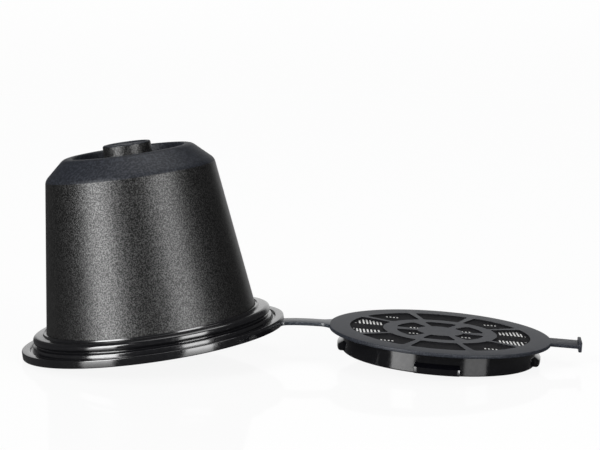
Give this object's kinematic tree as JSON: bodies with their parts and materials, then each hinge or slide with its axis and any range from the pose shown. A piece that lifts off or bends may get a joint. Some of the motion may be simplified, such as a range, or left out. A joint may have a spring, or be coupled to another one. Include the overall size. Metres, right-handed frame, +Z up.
{
  "type": "refillable coffee capsule",
  "caption": "Refillable espresso machine capsule in black plastic, standing open on its mouth, with a slotted screen lid on a thin strap and a small pull tab.",
  "frame": {"origin": "on the ground, under the middle of the whole as it lies open", "axes": "+Z up, +X from the cup along the strap to the lid's pull tab, +Y away from the viewer"},
  "size_m": [0.078, 0.037, 0.0304],
  "materials": {
    "cup_plastic": "fine spark-eroded texture on the side, smooth satin on the ends, polished flange",
    "strap_plastic": "smooth satin",
    "lid_plastic": "satin on the outer face, polished on the skirt",
    "screen_steel": "bright fine sheet"
  },
  "bodies": {
    "cup": {"cup": "cup_plastic", "strap": "strap_plastic"},
    "lid": {"lid": "lid_plastic", "filter_screen": "screen_steel"}
  },
  "joints": [
    {"name": "strap_fold", "type": "hinge", "parent": "cup", "child": "lid", "pos_m": [-0.00061, 0, 0.00496], "axis": [0, 1, 0], "range_deg": [-11.4, 168.6], "stiffness_Nm_per_rad": 0.0067, "springref_deg": -5.73, "deforming": ["strap"]}
  ]
}
